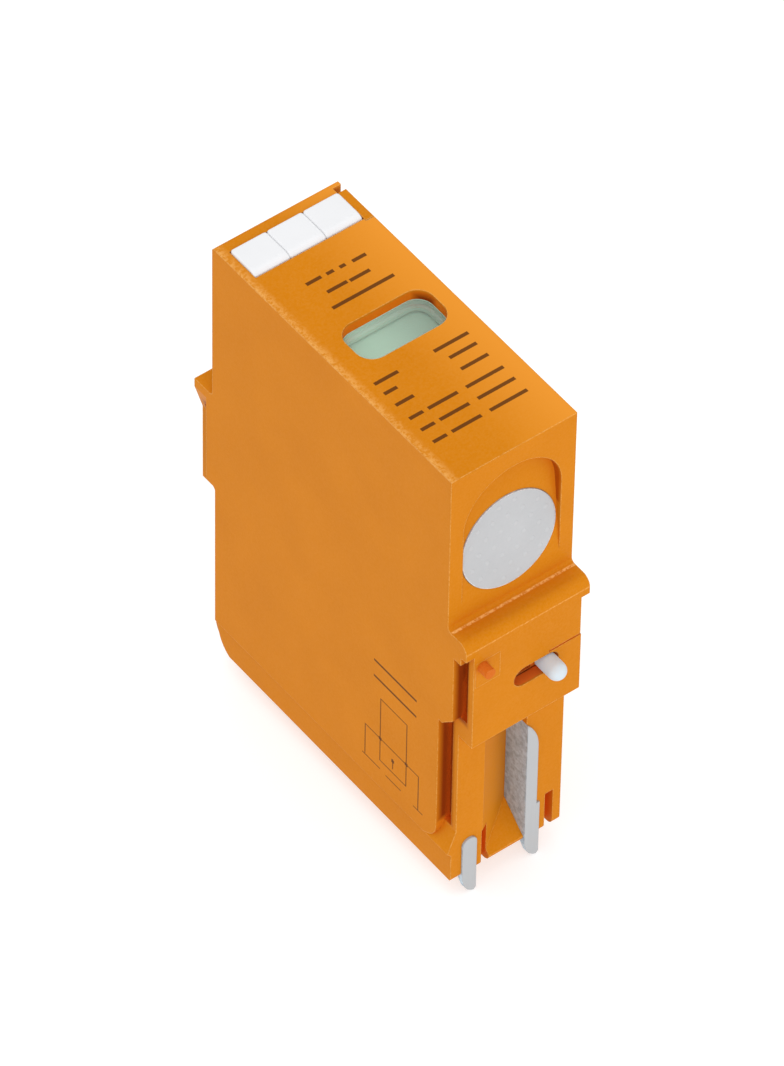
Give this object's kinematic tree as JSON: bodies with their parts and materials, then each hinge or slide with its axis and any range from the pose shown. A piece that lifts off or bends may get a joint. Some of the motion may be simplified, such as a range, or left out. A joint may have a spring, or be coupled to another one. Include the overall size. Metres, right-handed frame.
{
  "type": "plug-in surge arrester module",
  "caption": "Slim orange plug-in surge arrester module with status window, finger grips, marker tags, signal pin, coding key and contact blades below its shoulders.",
  "frame": {"origin": "middle of the plug at the underside of the front shoulder, where it seats on its base", "axes": "+Z out of the base towards the window, -Y towards the end with the signal pin, X across the width"},
  "size_m": [0.0176, 0.0535, 0.0717],
  "materials": {
    "shell_orange": "satin moulded plastic",
    "tag_white": "smooth matt plastic",
    "lens_clear": "clear plastic pane",
    "grip_grey": "satin moulded plastic",
    "key_orange": "satin moulded plastic",
    "flag_green": "matt moulded plastic",
    "panel_red": "matt moulded plastic",
    "spring_steel": "drawn wire",
    "saddle_black": "matt moulded plastic",
    "varistor_blue": "coated ceramic",
    "plate_copper": "rolled copper sheet",
    "solder_tin": "frosted solder",
    "arm_brass": "stamped strip",
    "rivet_steel": "plated",
    "blade_tin": "tin plated"
  },
  "bodies": {
    "module": {"housing": "shell_orange", "cover": "shell_orange", "marker_tag_1": "tag_white", "marker_tag_2": "tag_white", "marker_tag_3": "tag_white", "window_lens": "lens_clear", "grip_disc_front": "grip_grey", "grip_disc_rear": "grip_grey", "coding_key": "key_orange", "fault_panel": "panel_red", "trip_spring": "spring_steel", "saddle": "saddle_black", "varistor_a": "varistor_blue", "varistor_b": "varistor_blue", "mid_plate": "plate_copper", "outer_plate_a": "plate_copper", "outer_plate_b": "plate_copper", "solder_a": "solder_tin", "solder_b": "solder_tin", "rivet_a": "rivet_steel", "rivet_b": "rivet_steel", "blade_front": "blade_tin", "blade_rear": "blade_tin", "blade_earth": "blade_tin"},
    "indicator": {"indicator_slide": "flag_green"},
    "signal": {"signal_pin": "grip_grey"},
    "front_arm": {"arm_a": "arm_brass"},
    "rear_arm": {"arm_b": "arm_brass"}
  },
  "joints": [
    {"name": "indicator_slide_joint", "type": "slide", "parent": "module", "child": "indicator", "axis": [0, 1, 0], "range_m": [0, 0.0056], "deforming": ["trip_spring"]},
    {"name": "signal_slide_joint", "type": "slide", "parent": "module", "child": "signal", "axis": [-1, 0, 0], "range_m": [0, 0.0034]},
    {"name": "front_arm_pivot", "type": "hinge", "parent": "module", "child": "front_arm", "pos_m": [0.0046, -0.011, 0.0055], "axis": [-1, 0, 0], "range_deg": [0, 25.89]},
    {"name": "rear_arm_pivot", "type": "hinge", "parent": "module", "child": "rear_arm", "pos_m": [-0.0046, 0.008, 0.0055], "axis": [-1, 0, 0], "range_deg": [0, 25.89]}
  ],
  "couplings": [
    {"joint": "signal_slide_joint", "follows": "indicator_slide_joint", "ratio": 0.60714},
    {"joint": "front_arm_pivot", "follows": "indicator_slide_joint", "rad_per_m": 80.68},
    {"joint": "rear_arm_pivot", "follows": "indicator_slide_joint", "rad_per_m": 80.68}
  ]
}
